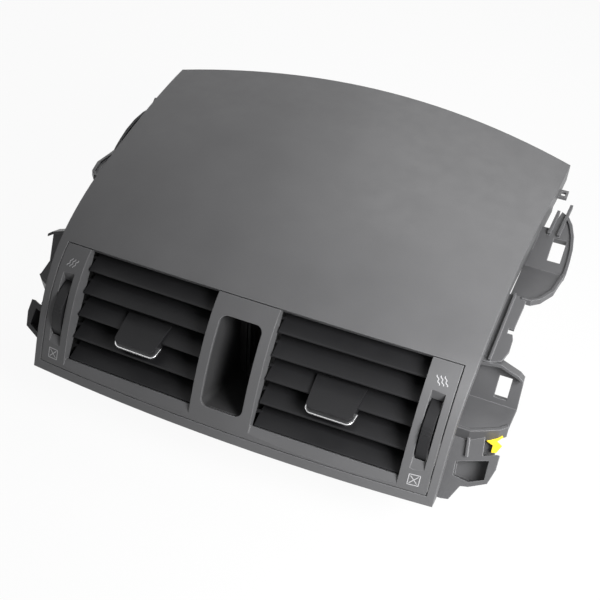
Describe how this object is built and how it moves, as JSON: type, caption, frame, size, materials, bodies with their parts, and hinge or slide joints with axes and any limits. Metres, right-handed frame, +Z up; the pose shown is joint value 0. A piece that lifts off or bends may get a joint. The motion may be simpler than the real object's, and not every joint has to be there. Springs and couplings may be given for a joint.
{
  "type": "dashboard air vent",
  "caption": "Dashboard air vent with a curved hood, louvred registers, sliding direction knobs, shut-off thumbwheels and a centre pocket.",
  "frame": {"origin": "centre of the bounding box's underside, in the position it has in the dashboard", "axes": "+X to the right seen from the front, +Y to the rear, +Z up"},
  "size_m": [0.3852, 0.3093, 0.1806],
  "materials": {
    "panel_grey": "satin, fine grain",
    "bezel_grey": "satin, fine grain",
    "carrier_grey": "satin",
    "black_plastic": "matte",
    "inner_black": "matte",
    "chrome": "polished",
    "foam": "open foam",
    "steel": "zinc plated",
    "clip_yellow": "satin"
  },
  "bodies": {
    "frame": {"top_panel": "panel_grey", "vent_bezel": "bezel_grey", "centre_pocket": "black_plastic", "housing_screws": "steel", "dash_clip_right": "clip_yellow", "vent_housing_right": "inner_black", "outlet_gasket_right": "foam", "side_carrier_right": "carrier_grey", "vent_housing_left": "inner_black", "outlet_gasket_left": "foam", "side_carrier_left": "carrier_grey"},
    "horizontal_vane_3_right": {"horizontal_vane_3_right": "black_plastic"},
    "horizontal_vane_1_right": {"horizontal_vane_1_right": "black_plastic"},
    "horizontal_vane_2_right": {"horizontal_vane_2_right": "black_plastic"},
    "horizontal_vane_4_right": {"horizontal_vane_4_right": "black_plastic"},
    "horizontal_vane_5_right": {"horizontal_vane_5_right": "black_plastic"},
    "tie_bar_right": {"tie_bar_right": "inner_black"},
    "knob_right": {"knob_right": "black_plastic", "knob_trim_right": "chrome"},
    "vertical_vane_1_right": {"vertical_vane_1_right": "black_plastic"},
    "vertical_vane_2_right": {"vertical_vane_2_right": "black_plastic"},
    "vertical_vane_3_right": {"vertical_vane_3_right": "black_plastic"},
    "vertical_vane_4_right": {"vertical_vane_4_right": "black_plastic"},
    "vertical_vane_5_right": {"vertical_vane_5_right": "black_plastic"},
    "vertical_vane_6_right": {"vertical_vane_6_right": "black_plastic"},
    "vertical_vane_7_right": {"vertical_vane_7_right": "black_plastic"},
    "vane_link_bar_right": {"vane_link_bar_right": "inner_black"},
    "thumbwheel_right": {"thumbwheel_right": "black_plastic"},
    "damper_flap_right": {"damper_flap_right": "inner_black"},
    "damper_link_right": {"damper_link_right": "inner_black"},
    "horizontal_vane_3_left": {"horizontal_vane_3_left": "black_plastic"},
    "horizontal_vane_1_left": {"horizontal_vane_1_left": "black_plastic"},
    "horizontal_vane_2_left": {"horizontal_vane_2_left": "black_plastic"},
    "horizontal_vane_4_left": {"horizontal_vane_4_left": "black_plastic"},
    "horizontal_vane_5_left": {"horizontal_vane_5_left": "black_plastic"},
    "tie_bar_left": {"tie_bar_left": "inner_black"},
    "knob_left": {"knob_left": "black_plastic", "knob_trim_left": "chrome"},
    "vertical_vane_1_left": {"vertical_vane_1_left": "black_plastic"},
    "vertical_vane_2_left": {"vertical_vane_2_left": "black_plastic"},
    "vertical_vane_3_left": {"vertical_vane_3_left": "black_plastic"},
    "vertical_vane_4_left": {"vertical_vane_4_left": "black_plastic"},
    "vertical_vane_5_left": {"vertical_vane_5_left": "black_plastic"},
    "vertical_vane_6_left": {"vertical_vane_6_left": "black_plastic"},
    "vertical_vane_7_left": {"vertical_vane_7_left": "black_plastic"},
    "vane_link_bar_left": {"vane_link_bar_left": "inner_black"},
    "thumbwheel_left": {"thumbwheel_left": "black_plastic"},
    "damper_flap_left": {"damper_flap_left": "inner_black"},
    "damper_link_left": {"damper_link_left": "inner_black"}
  },
  "joints": [
    {"name": "horizontal_vanes_right", "type": "hinge", "parent": "frame", "child": "horizontal_vane_3_right", "pos_m": [0.07615, -0.11208, 0.09501], "axis": [0.9983, 0.0485, -0.033], "range_deg": [-28, 22]},
    {"name": "horizontal_vane_1_right_turn", "type": "hinge", "parent": "frame", "child": "horizontal_vane_1_right", "pos_m": [0.07615, -0.09315, 0.12326], "axis": [0.9983, 0.0485, -0.033], "range_deg": [-28, 22]},
    {"name": "horizontal_vane_2_right_turn", "type": "hinge", "parent": "frame", "child": "horizontal_vane_2_right", "pos_m": [0.07615, -0.10288, 0.10932], "axis": [0.9983, 0.0485, -0.033], "range_deg": [-28, 22]},
    {"name": "horizontal_vane_4_right_turn", "type": "hinge", "parent": "frame", "child": "horizontal_vane_4_right", "pos_m": [0.07615, -0.12075, 0.08035], "axis": [0.9983, 0.0485, -0.033], "range_deg": [-28, 22]},
    {"name": "horizontal_vane_5_right_turn", "type": "hinge", "parent": "frame", "child": "horizontal_vane_5_right", "pos_m": [0.07615, -0.12889, 0.06533], "axis": [0.9983, 0.0485, -0.033], "range_deg": [-28, 22]},
    {"name": "tie_bar_right_turn", "type": "hinge", "parent": "horizontal_vane_3_right", "child": "tie_bar_right", "pos_m": [0.07615, -0.10335, 0.09719], "axis": [0.9983, 0.0485, -0.033], "range_deg": [-22, 28]},
    {"name": "knob_slide_right", "type": "slide", "parent": "horizontal_vane_3_right", "child": "knob_right", "axis": [0.9983, 0.0485, -0.033], "range_m": [-0.0115, 0.0115]},
    {"name": "vertical_vane_1_right_turn", "type": "hinge", "parent": "frame", "child": "vertical_vane_1_right", "pos_m": [0.03324, -0.07589, 0.0689], "axis": [0, 0.563, 0.8265], "range_deg": [-30.05, 30.05]},
    {"name": "vertical_vane_2_right_turn", "type": "hinge", "parent": "frame", "child": "vertical_vane_2_right", "pos_m": [0.04684, -0.07589, 0.0689], "axis": [0, 0.563, 0.8265], "range_deg": [-30.05, 30.05]},
    {"name": "vertical_vane_3_right_turn", "type": "hinge", "parent": "frame", "child": "vertical_vane_3_right", "pos_m": [0.06045, -0.07589, 0.0689], "axis": [0, 0.563, 0.8265], "range_deg": [-30.05, 30.05]},
    {"name": "vertical_vane_4_right_turn", "type": "hinge", "parent": "frame", "child": "vertical_vane_4_right", "pos_m": [0.07405, -0.07589, 0.0689], "axis": [0, 0.563, 0.8265], "range_deg": [-30.05, 30.05]},
    {"name": "vertical_vane_5_right_turn", "type": "hinge", "parent": "frame", "child": "vertical_vane_5_right", "pos_m": [0.08765, -0.07589, 0.0689], "axis": [0, 0.563, 0.8265], "range_deg": [-30.05, 30.05]},
    {"name": "vertical_vane_6_right_turn", "type": "hinge", "parent": "frame", "child": "vertical_vane_6_right", "pos_m": [0.10126, -0.07589, 0.0689], "axis": [0, 0.563, 0.8265], "range_deg": [-30.05, 30.05]},
    {"name": "vertical_vane_7_right_turn", "type": "hinge", "parent": "frame", "child": "vertical_vane_7_right", "pos_m": [0.11486, -0.07589, 0.0689], "axis": [0, 0.563, 0.8265], "range_deg": [-30.05, 30.05]},
    {"name": "vane_link_bar_right_turn", "type": "hinge", "parent": "vertical_vane_4_right", "child": "vane_link_bar_right", "pos_m": [0.07405, -0.09442, 0.02925], "axis": [0, 0.563, 0.8265], "range_deg": [-30.05, 30.05]},
    {"name": "thumbwheel_right_turn", "type": "hinge", "parent": "frame", "child": "thumbwheel_right", "pos_m": [0.13605, -0.1057, 0.08243], "axis": [1, 0, 0], "range_deg": [0, 80]},
    {"name": "damper_flap_right_turn", "type": "hinge", "parent": "frame", "child": "damper_flap_right", "pos_m": [0.07615, -0.04531, 0.04807], "axis": [1, 0, 0], "range_deg": [0, 80]},
    {"name": "damper_link_right_turn", "type": "hinge", "parent": "thumbwheel_right", "child": "damper_link_right", "pos_m": [0.13415, -0.09405, 0.08528], "axis": [1, 0, 0], "range_deg": [-80, 0]},
    {"name": "horizontal_vanes_left", "type": "hinge", "parent": "frame", "child": "horizontal_vane_3_left", "pos_m": [-0.07615, -0.11208, 0.09501], "axis": [0.9983, -0.0485, 0.033], "range_deg": [-28, 22]},
    {"name": "horizontal_vane_1_left_turn", "type": "hinge", "parent": "frame", "child": "horizontal_vane_1_left", "pos_m": [-0.07615, -0.09315, 0.12326], "axis": [0.9983, -0.0485, 0.033], "range_deg": [-28, 22]},
    {"name": "horizontal_vane_2_left_turn", "type": "hinge", "parent": "frame", "child": "horizontal_vane_2_left", "pos_m": [-0.07615, -0.10288, 0.10932], "axis": [0.9983, -0.0485, 0.033], "range_deg": [-28, 22]},
    {"name": "horizontal_vane_4_left_turn", "type": "hinge", "parent": "frame", "child": "horizontal_vane_4_left", "pos_m": [-0.07615, -0.12075, 0.08035], "axis": [0.9983, -0.0485, 0.033], "range_deg": [-28, 22]},
    {"name": "horizontal_vane_5_left_turn", "type": "hinge", "parent": "frame", "child": "horizontal_vane_5_left", "pos_m": [-0.07615, -0.12889, 0.06533], "axis": [0.9983, -0.0485, 0.033], "range_deg": [-28, 22]},
    {"name": "tie_bar_left_turn", "type": "hinge", "parent": "horizontal_vane_3_left", "child": "tie_bar_left", "pos_m": [-0.07615, -0.10335, 0.09719], "axis": [0.9983, -0.0485, 0.033], "range_deg": [-22, 28]},
    {"name": "knob_slide_left", "type": "slide", "parent": "horizontal_vane_3_left", "child": "knob_left", "axis": [-0.9983, 0.0485, -0.033], "range_m": [-0.0115, 0.0115]},
    {"name": "vertical_vane_1_left_turn", "type": "hinge", "parent": "frame", "child": "vertical_vane_1_left", "pos_m": [-0.03324, -0.07589, 0.0689], "axis": [0, -0.563, -0.8265], "range_deg": [-30.05, 30.05]},
    {"name": "vertical_vane_2_left_turn", "type": "hinge", "parent": "frame", "child": "vertical_vane_2_left", "pos_m": [-0.04684, -0.07589, 0.0689], "axis": [0, -0.563, -0.8265], "range_deg": [-30.05, 30.05]},
    {"name": "vertical_vane_3_left_turn", "type": "hinge", "parent": "frame", "child": "vertical_vane_3_left", "pos_m": [-0.06045, -0.07589, 0.0689], "axis": [0, -0.563, -0.8265], "range_deg": [-30.05, 30.05]},
    {"name": "vertical_vane_4_left_turn", "type": "hinge", "parent": "frame", "child": "vertical_vane_4_left", "pos_m": [-0.07405, -0.07589, 0.0689], "axis": [0, -0.563, -0.8265], "range_deg": [-30.05, 30.05]},
    {"name": "vertical_vane_5_left_turn", "type": "hinge", "parent": "frame", "child": "vertical_vane_5_left", "pos_m": [-0.08765, -0.07589, 0.0689], "axis": [0, -0.563, -0.8265], "range_deg": [-30.05, 30.05]},
    {"name": "vertical_vane_6_left_turn", "type": "hinge", "parent": "frame", "child": "vertical_vane_6_left", "pos_m": [-0.10126, -0.07589, 0.0689], "axis": [0, -0.563, -0.8265], "range_deg": [-30.05, 30.05]},
    {"name": "vertical_vane_7_left_turn", "type": "hinge", "parent": "frame", "child": "vertical_vane_7_left", "pos_m": [-0.11486, -0.07589, 0.0689], "axis": [0, -0.563, -0.8265], "range_deg": [-30.05, 30.05]},
    {"name": "vane_link_bar_left_turn", "type": "hinge", "parent": "vertical_vane_4_left", "child": "vane_link_bar_left", "pos_m": [-0.07405, -0.09442, 0.02925], "axis": [0, -0.563, -0.8265], "range_deg": [-30.05, 30.05]},
    {"name": "thumbwheel_left_turn", "type": "hinge", "parent": "frame", "child": "thumbwheel_left", "pos_m": [-0.13605, -0.1057, 0.08243], "axis": [1, 0, 0], "range_deg": [0, 80]},
    {"name": "damper_flap_left_turn", "type": "hinge", "parent": "frame", "child": "damper_flap_left", "pos_m": [-0.07615, -0.04531, 0.04807], "axis": [1, 0, 0], "range_deg": [0, 80]},
    {"name": "damper_link_left_turn", "type": "hinge", "parent": "thumbwheel_left", "child": "damper_link_left", "pos_m": [-0.13415, -0.09405, 0.08528], "axis": [1, 0, 0], "range_deg": [-80, 0]}
  ],
  "couplings": [
    {"joint": "horizontal_vane_1_right_turn", "follows": "horizontal_vanes_right", "ratio": 1},
    {"joint": "horizontal_vane_2_right_turn", "follows": "horizontal_vanes_right", "ratio": 1},
    {"joint": "horizontal_vane_4_right_turn", "follows": "horizontal_vanes_right", "ratio": 1},
    {"joint": "horizontal_vane_5_right_turn", "follows": "horizontal_vanes_right", "ratio": 1},
    {"joint": "tie_bar_right_turn", "follows": "horizontal_vanes_right", "ratio": -1},
    {"joint": "vertical_vane_1_right_turn", "follows": "knob_slide_right", "rad_per_m": 45.53},
    {"joint": "vertical_vane_2_right_turn", "follows": "knob_slide_right", "rad_per_m": 45.53},
    {"joint": "vertical_vane_3_right_turn", "follows": "knob_slide_right", "rad_per_m": 45.53},
    {"joint": "vertical_vane_4_right_turn", "follows": "knob_slide_right", "rad_per_m": 45.53},
    {"joint": "vertical_vane_5_right_turn", "follows": "knob_slide_right", "rad_per_m": 45.53},
    {"joint": "vertical_vane_6_right_turn", "follows": "knob_slide_right", "rad_per_m": 45.53},
    {"joint": "vertical_vane_7_right_turn", "follows": "knob_slide_right", "rad_per_m": 45.53},
    {"joint": "vane_link_bar_right_turn", "follows": "knob_slide_right", "rad_per_m": -45.53},
    {"joint": "damper_flap_right_turn", "follows": "thumbwheel_right_turn", "ratio": 1},
    {"joint": "damper_link_right_turn", "follows": "thumbwheel_right_turn", "ratio": -1},
    {"joint": "horizontal_vane_1_left_turn", "follows": "horizontal_vanes_left", "ratio": 1},
    {"joint": "horizontal_vane_2_left_turn", "follows": "horizontal_vanes_left", "ratio": 1},
    {"joint": "horizontal_vane_4_left_turn", "follows": "horizontal_vanes_left", "ratio": 1},
    {"joint": "horizontal_vane_5_left_turn", "follows": "horizontal_vanes_left", "ratio": 1},
    {"joint": "tie_bar_left_turn", "follows": "horizontal_vanes_left", "ratio": -1},
    {"joint": "vertical_vane_1_left_turn", "follows": "knob_slide_left", "rad_per_m": 45.53},
    {"joint": "vertical_vane_2_left_turn", "follows": "knob_slide_left", "rad_per_m": 45.53},
    {"joint": "vertical_vane_3_left_turn", "follows": "knob_slide_left", "rad_per_m": 45.53},
    {"joint": "vertical_vane_4_left_turn", "follows": "knob_slide_left", "rad_per_m": 45.53},
    {"joint": "vertical_vane_5_left_turn", "follows": "knob_slide_left", "rad_per_m": 45.53},
    {"joint": "vertical_vane_6_left_turn", "follows": "knob_slide_left", "rad_per_m": 45.53},
    {"joint": "vertical_vane_7_left_turn", "follows": "knob_slide_left", "rad_per_m": 45.53},
    {"joint": "vane_link_bar_left_turn", "follows": "knob_slide_left", "rad_per_m": -45.53},
    {"joint": "damper_flap_left_turn", "follows": "thumbwheel_left_turn", "ratio": 1},
    {"joint": "damper_link_left_turn", "follows": "thumbwheel_left_turn", "ratio": -1}
  ]
}
